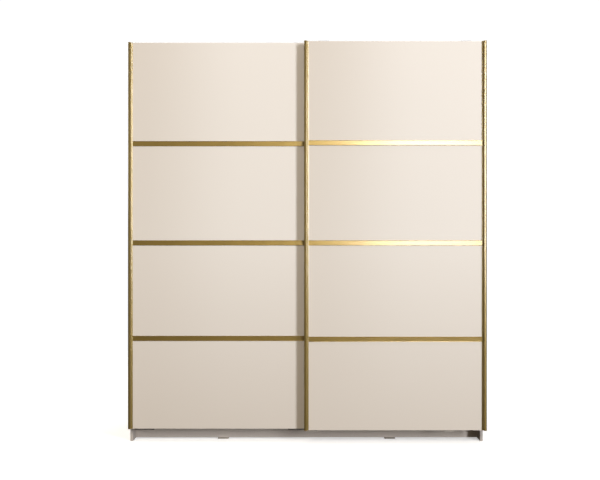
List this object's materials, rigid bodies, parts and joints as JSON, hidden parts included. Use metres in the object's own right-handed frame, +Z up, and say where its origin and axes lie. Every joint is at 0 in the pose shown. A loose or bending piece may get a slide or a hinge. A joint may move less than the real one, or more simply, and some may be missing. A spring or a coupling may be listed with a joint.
{
  "type": "sliding door wardrobe",
  "caption": "Wide wardrobe with two suspended sliding doors, each of stacked satin panels split by slim gold bars and edged with raised gold grips.",
  "frame": {"origin": "on the floor, at the middle of the width and of the depth", "axes": "+Z up, the doors face -Y, +X to the right seen from the front"},
  "size_m": [2, 0.64, 2.245],
  "materials": {
    "door_panel": "satin cashmere lacquer foil on board",
    "gold_divider": "gold anodised, satin",
    "gold_grip": "gold anodised, satin",
    "cap_plastic": "gold-brown, matt",
    "zinc_steel": "bright zinc plated",
    "roller_nylon": "white nylon",
    "axle_steel": "turned",
    "guide_plastic": "black",
    "front_guide_plastic": "beige",
    "screw_steel": "zinc plated",
    "cam_zinc": "die-cast zinc",
    "nail_steel": "bright",
    "beech": "fluted beech",
    "back_sheet": "thin lacquered hardboard",
    "plinth_board": "taupe melamine",
    "carcase_board": "taupe melamine, satin",
    "glide_plastic": "greige",
    "rail_chrome": "polished",
    "socket_zinc": "satin",
    "pin_steel": "nickel plated",
    "track_aluminium": "mill finish, satin",
    "stop_plastic": "black",
    "buffer_rubber": "black"
  },
  "bodies": {
    "carcase": {"back_sheet_nails": "nail_steel", "bottom_panel": "carcase_board", "cam_bolts": "cam_zinc", "cam_locks": "cam_zinc", "centre_partition": "carcase_board", "dowels": "beech", "fitting_screws": "screw_steel", "front_plinth": "plinth_board", "left_back_sheet": "back_sheet", "left_hanging_rail": "rail_chrome", "left_hat_shelf": "carcase_board", "left_side_panel": "carcase_board", "lower_guide_rail": "track_aluminium", "plinth_glides": "glide_plastic", "plinth_support": "plinth_board", "rail_sockets": "socket_zinc", "rear_plinth": "plinth_board", "right_back_sheet": "back_sheet", "right_hanging_rail": "rail_chrome", "right_hat_shelf": "carcase_board", "right_lower_shelf": "carcase_board", "right_middle_shelf": "carcase_board", "right_side_panel": "carcase_board", "shelf_pins": "pin_steel", "stop_buffers": "buffer_rubber", "top_panel": "carcase_board", "top_track": "track_aluminium", "track_end_stops": "stop_plastic", "wall_brackets": "zinc_steel"},
    "left_door": {"left_door_axles": "axle_steel", "left_door_bottom_panel": "door_panel", "left_door_divider_bars": "gold_divider", "left_door_grip_caps": "cap_plastic", "left_door_guides": "guide_plastic", "left_door_inner_grip": "gold_grip", "left_door_inner_hanger": "zinc_steel", "left_door_lower_panel": "door_panel", "left_door_outer_grip": "gold_grip", "left_door_outer_hanger": "zinc_steel", "left_door_screws": "screw_steel", "left_door_top_panel": "door_panel", "left_door_upper_panel": "door_panel"},
    "right_door": {"right_door_axles": "axle_steel", "right_door_bottom_panel": "door_panel", "right_door_divider_bars": "gold_divider", "right_door_grip_caps": "cap_plastic", "right_door_guides": "front_guide_plastic", "right_door_inner_grip": "gold_grip", "right_door_inner_hanger": "zinc_steel", "right_door_lower_panel": "door_panel", "right_door_outer_grip": "gold_grip", "right_door_outer_hanger": "zinc_steel", "right_door_screws": "screw_steel", "right_door_top_panel": "door_panel", "right_door_upper_panel": "door_panel"},
    "left_door_inner_roller_wheel": {"left_door_inner_roller": "roller_nylon"},
    "left_door_outer_roller_wheel": {"left_door_outer_roller": "roller_nylon"},
    "right_door_inner_roller_wheel": {"right_door_inner_roller": "roller_nylon"},
    "right_door_outer_roller_wheel": {"right_door_outer_roller": "roller_nylon"}
  },
  "joints": [
    {"name": "left_door_slide", "type": "slide", "parent": "carcase", "child": "left_door", "axis": [1, 0, 0], "range_m": [0, 0.955]},
    {"name": "right_door_slide", "type": "slide", "parent": "carcase", "child": "right_door", "axis": [-1, 0, 0], "range_m": [0, 0.955]},
    {"name": "left_door_outer_roller_spin", "type": "hinge", "parent": "left_door", "child": "left_door_outer_roller_wheel", "pos_m": [-0.89, -0.2355, 2.2118], "axis": [0, 1, 0], "continuous": true},
    {"name": "left_door_inner_roller_spin", "type": "hinge", "parent": "left_door", "child": "left_door_inner_roller_wheel", "pos_m": [-0.095, -0.2355, 2.2118], "axis": [0, 1, 0], "continuous": true},
    {"name": "right_door_outer_roller_spin", "type": "hinge", "parent": "right_door", "child": "right_door_outer_roller_wheel", "pos_m": [0.89, -0.2015, 2.2118], "axis": [0, -1, 0], "continuous": true},
    {"name": "right_door_inner_roller_spin", "type": "hinge", "parent": "right_door", "child": "right_door_inner_roller_wheel", "pos_m": [0.095, -0.2015, 2.2118], "axis": [0, -1, 0], "continuous": true}
  ],
  "couplings": [
    {"joint": "left_door_outer_roller_spin", "follows": "left_door_slide", "rad_per_m": 68.966},
    {"joint": "left_door_inner_roller_spin", "follows": "left_door_slide", "rad_per_m": 68.966},
    {"joint": "right_door_outer_roller_spin", "follows": "right_door_slide", "rad_per_m": 68.966},
    {"joint": "right_door_inner_roller_spin", "follows": "right_door_slide", "rad_per_m": 68.966}
  ]
}
